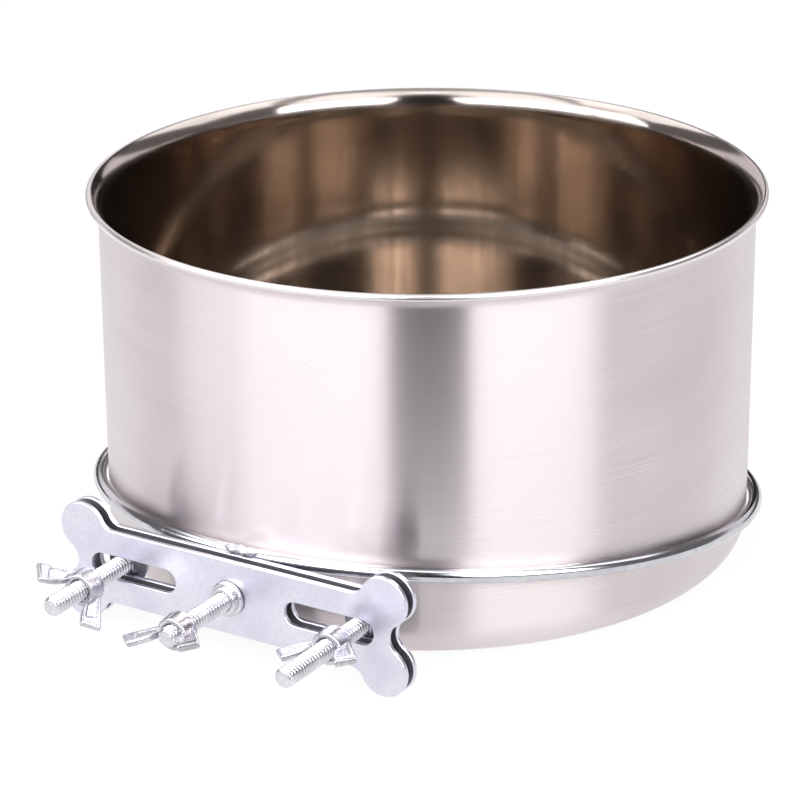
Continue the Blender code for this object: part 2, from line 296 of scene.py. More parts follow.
# The faces in the shade of a plate or of the bowl, painted shade: dull and grey, with marks
# drawn as coarse as those of the other faces
SHEET_PAINTED_SHADE = MetalFinish(
    "sheet inner face painted shade", "a3a3ab", "86868f", roughness=(0.42, 0.55),
    grain_mm=(0.6, 0.6, 0.6), cloud_mm=6.0, grain_height_mm=0.003,
)
# Rolled thread under clear zinc: white with a sharp glint on each crest. The zinc's grain is
# finer than this and is drawn coarser so that it shows
BOLT_ZINC = MetalFinish(
    "bolt clear zinc", "ebebee", "c4c4cb", roughness=(0.17, 0.29),
    grain_mm=(0.5, 0.5, 0.5), cloud_mm=5.0, grain_height_mm=0.0020,
)
# The head's underside, painted shade: plain grey for the shade of the plates, with the
# zinc's grain drawn coarser here too
HEAD_UNDER_PAINTED_SHADE = MetalFinish(
    "bolt head underside painted shade", "92929a", "7b7b84", roughness=(0.45, 0.58),
    grain_mm=(0.6, 0.6, 0.6), cloud_mm=5.0, grain_height_mm=0.0020,
)
# Die cast and plated: slightly pebbled, so glints break up
NUT_ZINC = MetalFinish(
    "nut cast zinc plated", "e2e2e7", "a8a8b0", roughness=(0.18, 0.34),
    grain_mm=(0.7, 0.7, 0.7), cloud_mm=4.0, grain_height_mm=0.006, cloud_height_mm=0.02,
)
# Weld metal under the plating: lumpy and duller than the wire
WELD = MetalFinish(
    "weld plated over", "e6e6e8", "cdcdd0", roughness=(0.38, 0.55),
    grain_mm=(0.6, 0.6, 0.6), cloud_mm=2.0, grain_height_mm=0.006, cloud_height_mm=0.03,
)


@dataclass
class Patch:
    """A grid of points with pattern coordinates in millimetres and a finish for each strip.

    Rows run along the profile and columns across it. A wrapped side joins its last line of
    points to its first. Without finish numbers the whole patch has the first finish.
    """

    points: Points
    across: Points
    along: Points
    wrap_columns: bool = False
    wrap_rows: bool = False
    finish: Points | None = None

    def faces(self) -> tuple[Points, Points, Points]:
        """The quads between neighbouring rows and columns.

        Returns:
            The quads, the pattern coordinates of their corners and their finish numbers.
        """
        rows, columns = self.points.shape[:2]
        i, j = np.meshgrid(
            np.arange(rows if self.wrap_rows else rows - 1),
            np.arange(columns if self.wrap_columns else columns - 1),
            indexing="ij",
        )
        i, j = i.ravel(), j.ravel()
        corners = ((i, j), (i + 1, j), (i + 1, j + 1), (i, j + 1))
        quads = np.stack([(r % rows) * columns + c % columns for r, c in corners], axis=1)
        places = np.stack([np.stack([self.across[c], self.along[r]], axis=1) for r, c in corners], axis=1)
        finish = np.zeros(len(i), dtype=int) if self.finish is None else self.finish[i]
        return quads, places, finish


@dataclass
class FlatFace:
    """A flat face with holes: its points, triangles, pattern coordinates and finish number."""

    points: Points
    triangles: Points
    places: Points
    finish: int


def running_length(points: Points) -> Points:
    """The length in millimetres from the first point to each point of a line."""
    steps = np.linalg.norm(np.diff(points, axis=0), axis=1)
    return np.concatenate([[0.0], np.cumsum(steps)]) / MM


def arc(centre: Sequence[float], radius: float, start: float, end: float, steps: int) -> Points:
    """Points on an arc in a plane: the centre plus the radius times cosine and sine of the angle.

    Args:
        centre: the arc's centre.
        radius: its radius.
        start: first angle in radians.
        end: last angle in radians.
        steps: parts that it is divided into.

    Returns:
        Points of two coordinates, both ends included.
    """
    angles = np.linspace(start, end, steps + 1)
    return np.stack([centre[0] + radius * np.cos(angles), centre[1] + radius * np.sin(angles)], axis=1)


def revolve(profile: Points, columns: int, closed: bool = False, finish: Points | None = None) -> Patch:
    """A surface of revolution about Z: point (r, z) of the profile at angle t is (r sin t, r cos t, z).

    Args:
        profile: radius and height of each point.
        columns: parts of the full turn.
        closed: whether the profile's last point joins its first.
        finish: finish number of the strip after each profile point.

    Returns:
        The surface.
    """
    angles = np.linspace(0, TURN, columns + 1)
    radius, height = profile[:, :1], profile[:, 1:]
    ring = angles[None, :-1]
    points = np.stack([radius * np.sin(ring), radius * np.cos(ring), height + 0 * ring], axis=2)
    line = np.vstack([profile, profile[:1]]) if closed else profile
    across = angles * profile[:, 0].max() / MM
    return Patch(points, across, running_length(line), True, closed, finish)


def along_bolt(points: Points, x: float, y: float, z: float) -> Points:
    """Points of a piece turned about local Z, laid along -Y with its local origin at (x, y, z)."""
    return np.stack([points[..., 0] + x, y - points[..., 2], points[..., 1] + z], axis=-1)


def box_middle(node: str) -> Points:
    """The middle of a solid's box."""
    low, high = (np.array(corner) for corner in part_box(node))
    return (low + high) / 2


def make_mesh(name: str, patches: Sequence[Patch], flats: Sequence[FlatFace] = ()) -> bpy.types.Mesh:
    """One mesh of several surfaces that share the points where they meet.

    Args:
        name: the mesh's name.
        patches: curved surfaces, shaded smooth.
        flats: flat faces, shaded flat.

    Returns:
        The mesh, with its faces outward and pattern coordinates in millimetres.
    """
    points: list[Points] = []
    faces: list[list[int]] = []
    places: list[Points] = []
    finishes: list[int] = []
    smooth: list[bool] = []
    start = 0
    for patch in patches:
        quads, corners, finish = patch.faces()
        points.append(patch.points.reshape(-1, 3))
        faces += (quads + start).tolist()
        places.append(corners.reshape(-1, 2))
        finishes += finish.tolist()
        smooth += [True] * len(quads)
        start += len(points[-1])
    for flat in flats:
        points.append(flat.points)
        faces += (flat.triangles + start).tolist()
        places.append(flat.places[flat.triangles].reshape(-1, 2))
        finishes += [flat.finish] * len(flat.triangles)
        smooth += [False] * len(flat.triangles)
        start += len(flat.points)
    mesh = bpy.data.meshes.new(name)
    mesh.from_pydata(np.vstack(points).tolist(), [], faces)
    layer = mesh.uv_layers.new(name=UV_NAME)
    layer.data.foreach_set("uv", np.vstack(places).ravel())
    mesh.polygons.foreach_set("material_index", finishes)
    mesh.polygons.foreach_set("use_smooth", smooth)
    shape = bmesh.new()
    shape.from_mesh(mesh)
    bmesh.ops.remove_doubles(shape, verts=shape.verts, dist=MERGE_WITHIN)
    bmesh.ops.recalc_face_normals(shape, faces=shape.faces)
    shape.to_mesh(mesh)
    shape.free()
    return mesh


def add_piece(
    name: str, mesh: bpy.types.Mesh, finishes: Sequence[MetalFinish], body: Body, node: str
) -> bpy.types.Object:
    """A finished piece that stands for a solid and moves with its body.

    Args:
        name: the piece's name.
        mesh: its mesh, in place in the object's frame.
        finishes: its finishes, in the order of the mesh's finish numbers.
        body: the body it rides on.
        node: the solid it stands for.

    Returns:
        The object.
    """
    obj = bpy.data.objects.new(name, mesh)
    bpy.context.scene.collection.objects.link(obj)
    for finish in finishes:
        mesh.materials.append(bpy.data.materials.get(finish.name) or finish.build())
    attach(obj, body.value)
    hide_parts(node)
    return obj


@dataclass
class Bowl:
    """The drawn bowl: flat floor, rounded corner, straight wall and a rim flared into a rolled bead.

    The seam is where the sheet's curled edge meets the flare again under the bead: the bead's
    circle and the flare's arc each stop a small angle short of it.
    """

    radius: float = 80.3 * MM
    height: float = 91.2 * MM
    wall: float = 0.8 * MM
    corner: float = 8.0 * MM
    flare: float = 5.0 * MM
    flare_angle: float = math.radians(58)
    bead: float = 0.9 * MM
    seam_depth: float = 0.16 * MM
    seam_slope: tuple[float, float] = (-0.45, 0.9)
    bead_short: float = 0.07
    flare_short: float = 0.02
    columns: int = 288
    floor_points: int = 24
    wall_points: int = 32
    corner_steps: int = 14
    # the inside corner's strips between these two rows take painted shade
    painted_shade_from: int = 4
    painted_shade_to: int = 10

    def rim(self) -> list[tuple[Points, MetalFinish]]:
        """The rim's spans from the inner wall over the bead to the outer wall.

        The wall follows an arc outwards into the bead's circle. Outside, a smaller arc about the
        same centre meets that circle in the narrow seam.

        Returns:
            Each span's points and its finish.
        """
        outer_flare = self.flare - self.wall
        reach = self.flare - self.bead
        bead_z = self.height - self.bead
        end = math.pi - self.flare_angle
        centre = (self.radius + outer_flare, bead_z - reach * math.sin(end))
        bead = (centre[0] + reach * math.cos(end), bead_z)
        meet_cos = (outer_flare**2 + reach**2 - self.bead**2) / (2 * outer_flare * reach)
        meet = end + math.acos(meet_cos)
        meet_at = arc(centre, outer_flare, meet, meet, steps=1)[:1]
        to_meet = math.atan2(meet_at[0, 1] - bead[1], meet_at[0, 0] - bead[0])
        seam = meet_at + self.seam_depth * np.array([self.seam_slope])
        return [
            (arc(centre, self.flare, math.pi, end, steps=16), FLARE),
            (arc(bead, self.bead, end, to_meet + self.bead_short, steps=30)[1:], BEAD),
            (seam, WALL),
            (arc(centre, outer_flare, meet + self.flare_short, math.pi, steps=14), WALL),
        ]

    def profile(self) -> list[tuple[Points, MetalFinish]]:
        """From the middle of the inside up over the rim and down to the middle underneath.

        Returns:
            Each span's points and the finish of the strips after them.
        """
        inner = self.radius - self.wall
        centre = (self.radius - self.corner, self.corner)
        rim = self.rim()
        top = rim[0][0][0, 1]
        floor = np.linspace((0, self.wall), (centre[0], self.wall), self.floor_points)
        rise = np.linspace((inner, self.corner), (inner, top), self.wall_points)
        fall = np.linspace((self.radius, top), (self.radius, self.corner), self.wall_points)
        under = np.linspace((centre[0], 0), (0, 0), self.floor_points)
        corner = arc(centre, self.corner - self.wall, -QUARTER_TURN, 0, self.corner_steps)
        return [
            (floor[:-1], FLOOR),
            (corner[: self.painted_shade_from], FLOOR),
            # painted shade in the inside corner
            (corner[self.painted_shade_from : self.painted_shade_to], CORNER_PAINTED_SHADE),
            (corner[self.painted_shade_to :], INSIDE),
            (rise[1:-1], INSIDE),
            *rim,
            (fall[1:-1], WALL),
            (arc(centre, self.corner, 0, -QUARTER_TURN, steps=16), WALL),
            (under[1:], FLOOR),
        ]

    def build(self) -> bpy.types.Object:
        """Makes the bowl from its turned profile.

        Returns:
            The piece.
        """
        finishes = (WALL, INSIDE, FLOOR, BEAD, FLARE, CORNER_PAINTED_SHADE)
        spans = self.profile()
        points = np.vstack([span for span, _ in spans])
        numbers = np.concatenate([np.full(len(span), finishes.index(metal)) for span, metal in spans])
        mesh = make_mesh("bowl_shell", [revolve(points, self.columns, finish=numbers)])
        return add_piece("bowl_shell", mesh, finishes, Body.BOWL, "bowl")


@dataclass
class WireHoop:
    """The plated wire ring that the bowl sits in, which droops away from the clamp."""

    bowl_clear: float = 80.7 * MM
    wire: float = 1.7 * MM
    half_rise: float = 10.575 * MM
    roll: float = math.radians(-1.6)
    ripple: float = 0.06 * MM
    ripple_waves: tuple[int, int] = (5, 3)
    ripple_start: float = 0.6
    columns: int = 360
    section_steps: int = 24

    def ring(self, middle: Points) -> Patch:
        """A round section carried round a tilted circle.

        At angle t the wire's middle is at the hoop's radius plus a ripple of a few hundredths
        of a millimetre, as hand-bent wire has, and the section turns with the circle. The circle
        is pressed in along X, so that the drooping hoop hugs the bowl all round.

        Args:
            middle: the hoop's centre.

        Returns:
            The surface.
        """
        side = self.bowl_clear + self.wire
        radius = math.hypot(side, self.half_rise)
        droop = -math.asin(self.half_rise / radius)
        t = np.linspace(0, TURN, self.columns + 1)
        s = np.linspace(0, TURN, self.section_steps + 1)
        first, second = self.ripple_waves
        out = radius + self.ripple * np.sin(first * t + self.ripple_start) * np.sin(second * t)
        reach = out[None, :] + self.wire * np.cos(s)[:, None]
        rise = self.wire * np.sin(s)[:, None] + 0 * t[None, :]
        flat = np.stack([reach * np.sin(t) * side / radius, reach * np.cos(t), rise], axis=2)[:-1, :-1]
        tilt = np.array(Euler((droop, self.roll, 0)).to_matrix())
        return Patch(flat @ tilt.T + middle, t * radius / MM, s * self.wire / MM, True, True)

    def build(self) -> bpy.types.Object:
        """Makes the ring about the bowl's axis, at its solid's height.

        Returns:
            The piece.
        """
        middle = np.array([0.0, 0.0, box_middle("wire_hoop")[2]])
        mesh = make_mesh("hoop_wire", [self.ring(middle)])
        return add_piece("hoop_wire", mesh, (WIRE,), Body.HOLDER, "wire_hoop")


@dataclass
class HoopWeld:
    """The bead of weld metal that holds the hoop to the rear plate, in a row of small dabs."""

    half_length: float = 4.2 * MM
    radius: float = 1.12 * MM
    dab_swell: float = 0.16
    dab_rate: float = 9.5
    dab_start: float = 0.7
    fine_swell: float = 0.07
    fine_rate: float = 23.0
    lump_swell: float = 0.09
    lumps_round: int = 3
    lump_twist: float = 8.0
    rows: int = 49
    columns: int = 36

    def surface(self) -> Patch:
        """An ellipsoid along X whose radius swells at each dab.

        At share s of the half length the radius is that of an ellipse times one plus two sines
        of s, and a sine of the angle and s together makes the lumps round it.

        Returns:
            The surface about the local origin.
        """
        share = np.sin(np.linspace(-QUARTER_TURN, QUARTER_TURN, self.rows))
        angle = np.linspace(0, TURN, self.columns + 1)
        ring = angle[:-1]
        dabs = self.dab_swell * np.sin(self.dab_rate * share + self.dab_start)
        swell = 1 + dabs + self.fine_swell * np.sin(self.fine_rate * share)
        radius = self.radius * np.sqrt(np.maximum(1 - share**2, 0)) * swell
        twist = self.lumps_round * ring[None, :] + self.lump_twist * share[:, None]
        across = radius[:, None] * (1 + self.lump_swell * np.sin(twist))
        x = self.half_length * share[:, None] + 0 * ring[None, :]
        points = np.stack([x, across * np.cos(ring), across * np.sin(ring)], axis=2)
        return Patch(points, angle * self.radius / MM, share * self.half_length / MM, True)

    def build(self) -> bpy.types.Object:
        """Makes the weld where its solid is.

        Returns:
            The piece.
        """
        patch = self.surface()
        patch.points = patch.points + box_middle("hoop_weld")
        mesh = make_mesh("hoop_weld_bead", [patch])
        return add_piece("hoop_weld_bead", mesh, (WELD,), Body.HOLDER, "hoop_weld")


@dataclass
class ClampPlate:
    """A bone-shaped stamped plate with two slots and a centre hole, its edges rolled by the die.

    Its faces have a finish each: the satin one where light falls on them, and a darker one that
    is painted shade where the other plate or the bowl shades them.
    """

    node: str
    body: Body
    centre_hole: CentreHole
    front_finish: MetalFinish
    back_finish: MetalFinish
    lobe_x: float = 41.8 * MM
    lobe_radius: float = 6.2 * MM
    lobe_rise: float = 8.55 * MM
    half_bar: float = 9.3 * MM
    shoulder: float = 3.5 * MM
    waist: float = 43.3 * MM
    slot_inner: float = 15.18 * MM
    slot_outer: float = 39.3 * MM
    slot_radius: float = 2.98 * MM
    square_half: float = 2.78 * MM
    round_radius: float = 2.68 * MM
    front_edge: float = 0.32 * MM
    back_edge: float = 0.14 * MM
    bar_points: int = 12
    edge_rows: int = 6

    def quarter(self) -> Points:
        """The outline from the middle of the top edge to the notch at the +X end.

        The straight bar bends over a shoulder's arc into the lobe's circle, and the notch's
        circle touches the lobe and has its middle on the plate's centre line.

        Returns:
            Points in the plate's plane.
        """
        reach = self.lobe_radius + self.shoulder
        top = self.half_bar + self.shoulder
        lobe = (self.lobe_x, self.lobe_rise)
        bend = (lobe[0] - math.sqrt(reach**2 - (top - lobe[1]) ** 2), top)
        to_lobe = math.atan2(lobe[1] - bend[1], lobe[0] - bend[0])
        waist = self.waist - lobe[0]
        notch = (lobe[1] ** 2 + waist**2 - self.lobe_radius**2) / (2 * (self.lobe_radius - waist))
        end = (self.waist + notch, 0.0)
        to_notch = math.atan2(-lobe[1], end[0] - lobe[0])
        bar = np.linspace((0, self.half_bar), (bend[0], self.half_bar), self.bar_points)
        return np.vstack([
            bar[1:-1],
            arc(bend, self.shoulder, -QUARTER_TURN, to_lobe, steps=12),
            arc(lobe, self.lobe_radius, to_lobe + math.pi, to_notch, steps=40)[1:],
            arc(end, notch, to_notch + math.pi, math.pi, steps=12)[1:],
        ])

    def outline(self) -> Points:
        """The whole outline, clockwise seen from the front: the quarter and its mirror images.

        Returns:
            Points in the plate's plane.
        """
        quarter = self.quarter()
        right = np.vstack([quarter, quarter[-2::-1] * (1, -1)])
        return np.vstack([right, right[::-1] * (-1, 1)])

    def slot(self, side: int) -> Points:
        """A slot with round ends.

        Args:
            side: 1 for the slot on the +X side and -1 for the other.

        Returns:
            Points in the plate's plane.
        """
        radius = self.slot_radius
        outer = arc((self.slot_outer - radius, 0), radius, -QUARTER_TURN, QUARTER_TURN, steps=20)
        inner = arc((self.slot_inner + radius, 0), radius, QUARTER_TURN, 3 * QUARTER_TURN, steps=20)
        return np.vstack([outer, inner]) * (side, 1)

    def hole(self) -> Points:
        """The centre hole, square or round.

        Returns:
            Points in the plate's plane.
        """
        if self.centre_hole is CentreHole.SQUARE:
            return self.square_half * np.array([[1, -1], [1, 1], [-1, 1], [-1, -1]], dtype=float)
        return arc((0, 0), self.round_radius, 0, TURN, steps=48)[:-1]

    def edge(self, loop: Points, is_hole: bool) -> Patch:
        """The rolled edge along one outline: a quarter round, the cut side and a smaller round.

        At angle t of a round, a row is the outline moved into the metal by the round's radius
        times one less the sine of t, at a depth of the radius times one less the cosine.

        Args:
            loop: the outline in the plate's plane.
            is_hole: whether the metal lies outside the outline.

        Returns:
            The surface from the front face's border to the back face's, where the solid is.
        """
        low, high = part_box(self.node)
        ahead = np.roll(loop, -1, axis=0) - np.roll(loop, 1, axis=0)
        ahead /= np.linalg.norm(ahead, axis=1, keepdims=True)
        following = np.roll(loop, -1, axis=0)
        area = np.sum(loop[:, 0] * following[:, 1] - following[:, 0] * loop[:, 1])
        turn = 1.0 if (area > 0) != is_hole else -1.0
        inward = turn * np.stack([-ahead[:, 1], ahead[:, 0]], axis=1)
        t = np.linspace(0, QUARTER_TURN, self.edge_rows)
        inset = np.concatenate([
            self.front_edge * (1 - np.sin(t)),
            self.back_edge * (1 - np.sin(t[::-1])),
        ])
        depth = np.concatenate([
            low[1] + self.front_edge * (1 - np.cos(t)),
            high[1] - self.back_edge * (1 - np.cos(t[::-1])),
        ])
        plane = loop[None] + inset[:, None, None] * inward[None]
        level = depth[:, None] + 0 * plane[:, :, 0]
        points = np.stack([plane[:, :, 0], level, plane[:, :, 1] + (low[2] + high[2]) / 2], axis=2)
        across = running_length(np.vstack([loop, loop[:1]]))
        return Patch(points, across, running_length(np.stack([inset, depth], axis=1)), True)

    def face(self, edges: Sequence[Patch], row: int, finish: int) -> FlatFace:
        """The flat face between the borders of the rolled edges.

        Args:
            edges: the rolled edges, the outline's first.
            row: the edges' row on this face: 0 in front and -1 at the back.
            finish: its finish number.

        Returns:
            The face, cut into triangles.
        """
        loops = [edge.points[row] for edge in edges]
        flat = [np.insert(loop[:, ::2], 2, 0.0, axis=1).tolist() for loop in loops]
        points = np.vstack(loops)
        return FlatFace(points, np.array(tessellate_polygon(flat)), points[:, ::2] / MM, finish)

    def build(self) -> bpy.types.Object:
        """Makes the plate where its solid is.

        Returns:
            The piece.
        """
        finishes = (SHEET, SHEET_PAINTED_SHADE)
        holes = (self.slot(-1), self.slot(1), self.hole())
        edges = [self.edge(self.outline(), False), *(self.edge(loop, True) for loop in holes)]
        faces = [
            self.face(edges, 0, finishes.index(self.front_finish)),
            self.face(edges, -1, finishes.index(self.back_finish)),
        ]
        name = self.node + "_sheet"
        return add_piece(name, make_mesh(name, edges, faces), finishes, self.body, self.node)


@dataclass
class CarriageBolt:
    """A bolt with a domed head, a square neck and a 24-to-the-inch thread along its shank.

    Crest and flank are shares of half a pitch. The shares of the head's radius are those of its
    edge, of the chamfer under it and of where the underside ends.
    """

    node: str
    body: Body
    radius: float = 2.38 * MM
    pitch: float = 25.4 / 24 * MM
    depth: float = 0.56 * MM
    crest: float = 0.15
    flank: float = 0.62
    tip_chamfer: float = 0.6 * MM
    tip_inset: float = 0.75 * MM
    head_radius: float = 5.58 * MM
    head_height: float = 2.4 * MM
    head_edge: float = 0.6 * MM
    head_chamfer: float = 0.1 * MM
    head_shares: tuple[float, float, float] = (1.0, 0.985, 0.6)
    neck_half: float = 2.46 * MM
    neck_length: float = 1.5 * MM
    neck_corner: float = 1.33
    neck_step: float = 0.05 * MM
    shank_inset: float = 0.1 * MM
    thread_gap: float = 0.25 * MM
    columns: int = 48
    dome_rows: int = 12
    rows_per_turn: int = 14
    sharp_from: float = math.radians(50)

    def thread(self, distance: Points, length: float, angle: Points) -> Points:
        """Radius on the thread: full at the crests, less a rounded V along a helix.

        The helix's phase is axial distance over pitch less angle over a full turn, and the V is
        cut off at crest and root. A 45 degree chamfer limits the radius at the tip.

        Args:
            distance: axial distance of each row from the head's back.
            length: the bolt's whole length.
            angle: angle of each column.

        Returns:
            The radius at each row and column.
        """
        phase = distance[:, None] / self.pitch - angle[None, :] / TURN
        valley = np.abs(2 * (phase - np.floor(phase)) - 1)
        cut = np.clip((valley - self.crest) / self.flank, 0, 1)
        radius = self.radius - self.depth * cut * cut * (3 - 2 * cut)
        return np.minimum(radius, self.radius - self.tip_chamfer + (length - distance[:, None]))

    def surface(self, length: float) -> Patch:
        """The whole bolt as one radius over angle and distance along the axis.

        The head is part of a sphere, the neck's radius is its half width over the larger of
        cosine and sine, cut off at its worn corners, and the thread follows to the flat tip.

        Args:
            length: from the back of the head to the tip.

        Returns:
            The surface about local Z, with the head's back at 0.
        """
        angle = np.linspace(0, TURN, self.columns + 1)
        ring = angle[:-1]
        plain = 0 * ring
        crown = self.head_height - self.head_edge
        dome = (self.head_radius**2 + crown**2) / (2 * crown)
        spread = np.linspace(0, math.asin(self.head_radius / dome), self.dome_rows)
        head_r = np.concatenate([dome * np.sin(spread), np.array(self.head_shares) * self.head_radius])
        head_z = np.concatenate([
            dome * (1 - np.cos(spread)),
            [self.head_height - self.head_chamfer, self.head_height, self.head_height],
        ])
        square = self.neck_half / np.maximum(np.abs(np.cos(ring)), np.abs(np.sin(ring)))
        square = np.minimum(square, self.neck_corner * self.neck_half)
        neck_end = self.head_height + self.neck_length
        neck_z = [self.head_height, neck_end, neck_end + self.neck_step]
        start = neck_end + self.thread_gap
        rows = int((length - start) / self.pitch * self.rows_per_turn)
        thread_z = np.linspace(start, length, rows)
        z = np.concatenate([head_z, neck_z, thread_z, [length, length]])
        radius = np.vstack([
            head_r[:, None] + plain,
            np.stack([square, square, plain + self.radius - self.shank_inset]),
            self.thread(thread_z, length, ring),
            np.stack([plain + self.radius - self.tip_inset, plain]),
        ])
        points = np.stack([radius * np.cos(ring), radius * np.sin(ring), z[:, None] + plain], axis=2)
        # the strips from the chamfer inwards are the head's underside, with the second finish, painted
        # shade
        finish = np.zeros(len(z), dtype=int)
        finish[len(head_z) - 2 : len(head_z)] = 1
        return Patch(points, angle * self.radius / MM, z / MM, True, finish=finish)

    def build(self) -> bpy.types.Object:
        """Makes the bolt where its solid is.

        Returns:
            The piece.
        """
        low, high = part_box(self.node)
        x, _, z = box_middle(self.node)
        patch = self.surface(high[1] - low[1])
        patch.points = along_bolt(patch.points, x, high[1], z)
        name = self.node + "_threaded"
        mesh = make_mesh(name, [patch])
        mesh.set_sharp_from_angle(angle=self.sharp_from)
        return add_piece(name, mesh, (BOLT_ZINC, HEAD_UNDER_PAINTED_SHADE), self.body, self.node)


@dataclass
class Collar:
    """The flanged collar on the front plate: a rounded disc, a groove and a short neck."""

    bore: float = 2.5 * MM
    neck: float = 3.38 * MM
    neck_round: float = 0.35 * MM
    neck_foot: float = 1.75 * MM
    groove_depth: float = 0.22 * MM
    groove_top: float = 1.6 * MM
    groove_fillet: float = 0.12 * MM
    flange: float = 4.28 * MM
    flange_height: float = 1.1 * MM
    flange_round: float = 0.5 * MM
    height: float = 2.6 * MM
    columns: int = 72
    sharp_from: float = math.radians(40)

    def profile(self) -> Points:
        """A closed line round the collar's section, from the bore over the neck and flange.

        Returns:
            Radius and height of each point.
        """
        top, edge = self.neck_round, self.flange_round
        groove = self.neck - self.groove_depth
        return np.vstack([
            [[self.bore, self.height]],
            arc((self.neck - top, self.height - top), top, QUARTER_TURN, 0, steps=6),
            [[self.neck, self.neck_foot], [groove, self.groove_top]],
            [[groove, self.flange_height + self.groove_fillet]],
            [[groove + self.groove_fillet, self.flange_height]],
            arc((self.flange - edge, self.flange_height - edge), edge, QUARTER_TURN, 0, steps=8),
            [[self.flange, 0.0], [self.bore, 0.0]],
        ])

    def build(self) -> bpy.types.Object:
        """Makes the collar where its solid is.

        Returns:
            The piece.
        """
        x, _, z = box_middle("centre_collar")
        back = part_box("centre_collar")[1][1]
        patch = revolve(self.profile(), self.columns, closed=True)
        patch.points = along_bolt(patch.points, x, back, z)
        mesh = make_mesh("centre_collar_turned", [patch])
        mesh.set_sharp_from_angle(angle=self.sharp_from)
        return add_piece(
            "centre_collar_turned", mesh, (BOLT_ZINC,), Body.CLAMP_PLATE, "centre_collar"
        )


@dataclass
class WingNut:
    """A cast wing nut: a flared hub with two paddles that bend forwards, blended as castings are.

    The panel's start and end are shares of a wing's length, each with the length over which the
    recess fades. The rim is a row of points from one edge inwards, as shares of the wing's width
    and of its half thickness, and its last point is where the recessed panel begins. From the
    tip's start on, the pad gets thinner.
    """

    node: str
    bolt: str
    body: Body
    turn: float
    bore: float = 2.46 * MM
    top_radius: float = 3.98 * MM
    top_round: float = 0.5 * MM
    top_sink: float = 0.45 * MM
    base_radius: float = 4.28 * MM
    base_height: float = 1.0 * MM
    base_chamfer: float = 0.25 * MM
    base_sink: float = 0.3 * MM
    height: float = 4.5 * MM
    columns: int = 72
    foot: float = 0.5 * MM
    root: float = 3.33 * MM
    reach: float = 10.9 * MM
    rise: float = 11.8 * MM
    width: float = 5.1 * MM
    lean: float = math.radians(48)
    thickness: float = 1.8 * MM
    recess: float = 0.4 * MM
    panel_start: tuple[float, float] = (0.3, 0.1)
    panel_end: tuple[float, float] = (0.86, 0.06)
    rim: tuple[tuple[float, float], ...] = (
        (0.0, 0.4), (0.03, 0.8), (0.08, 1.0), (0.19, 1.0), (0.25, 0.0),
    )
    tip_start: float = 0.97
    tip_fade: float = 0.09
    tip_least: float = 0.66
    rows: int = 40
    voxel: float = 0.13 * MM
    fillet_share: float = 0.5
    fillet_passes: int = 5

    def hub(self) -> Patch:
        """The hub turned about local Z, with a countersink at each end of its bore.

        Returns:
            The closed surface.
        """
        edge, sink, chamfer = self.top_round, self.base_sink, self.base_chamfer
        profile = np.vstack([
            [[self.bore, self.height - self.top_sink], [self.bore + self.top_sink, self.height]],
            arc((self.top_radius - edge, self.height - edge), edge, QUARTER_TURN, 0, steps=6),
            [[self.base_radius, self.base_height], [self.base_radius, chamfer]],
            [[self.base_radius - chamfer, 0.0], [self.bore + sink, 0.0], [self.bore, sink]],
        ])
        return revolve(profile, self.columns, closed=True)

    def wing(self, side: int) -> Patch:
        """A paddle between two edges that leave the hub along its side and bend forwards.

        Each edge is a quadratic curve in the plane of the axis. A section has a full rim at both
        edges and a recessed panel between them, and the end is a full pad that thins at its tip.

        Args:
            side: 1 for the wing along +X and -1 for the other.

        Returns:
            The closed surface.
        """
        top = self.height - self.foot
        lower = np.array([
            [self.root, self.foot],
            [self.base_radius, self.foot],
            [self.reach, self.rise - self.width * math.cos(self.lean)],
        ])
        upper = np.array([
            [self.root, top],
            [self.root, (top + self.rise) / 2],
            [self.reach - self.width * math.sin(self.lean), self.rise],
        ])
        tip_rows = [(self.tip_start + 1) / 2, 1.0]
        share = np.concatenate([np.linspace(0, self.tip_start, self.rows), tip_rows])[:, None]
        weights = np.hstack([(1 - share) ** 2, 2 * share * (1 - share), share**2])
        low_edge, high_edge = weights @ lower, weights @ upper
        (start, start_fade), (end, end_fade) = self.panel_start, self.panel_end
        panel = np.clip((share - start) / start_fade, 0, 1) * np.clip((end - share) / end_fade, 0, 1)
        tip = np.clip(1 - (share - self.tip_start) / self.tip_fade, self.tip_least, 1)
        rim = np.array(self.rim)
        face = np.vstack([rim, rim[::-1] * (-1, 1) + (1, 0)])
        loop = np.vstack([face, face[::-1]])
        thin = 1 - 2 * self.recess / self.thickness
        height = np.where(loop[:, 1] == 0.0, 1 - panel * (1 - thin), loop[:, 1])
        half = self.thickness / 2 * tip * height
        across = low_edge[:, None] + loop[None, :, :1] * (high_edge - low_edge)[:, None]
        sign = np.repeat([1.0, -1.0], len(face))
        points = np.stack([side * across[:, :, 0], sign * half, across[:, :, 1]], axis=2)
        middles = points.mean(axis=1, keepdims=True) + 0 * points
        points = np.concatenate([middles[:1], points, middles[-1:]])
        # the cast skin keeps no pattern coordinates, so the points are only counted
        return Patch(points, np.arange(len(loop) + 1), np.arange(len(points)), True)

    def cast(self, mesh: bpy.types.Mesh) -> bpy.types.Mesh:
        """The hub and wings run into one skin with small fillets, as a casting has.

        Args:
            mesh: the closed shells of hub and wings.

        Returns:
            The skin's mesh.
        """
        rough = bpy.data.objects.new(self.node + "_rough", mesh)
        bpy.context.scene.collection.objects.link(rough)
        skin = rough.modifiers.new("skin", "REMESH")
        skin.mode = "VOXEL"
        skin.voxel_size = self.voxel
        soften = rough.modifiers.new("soften", "SMOOTH")
        soften.factor = self.fillet_share
        soften.iterations = self.fillet_passes
        graph = bpy.context.evaluated_depsgraph_get()
        cast = bpy.data.meshes.new_from_object(rough.evaluated_get(graph))
        bpy.data.objects.remove(rough, do_unlink=True)
        cast.name = self.node + "_cast"
        cast.shade_smooth()
        return cast

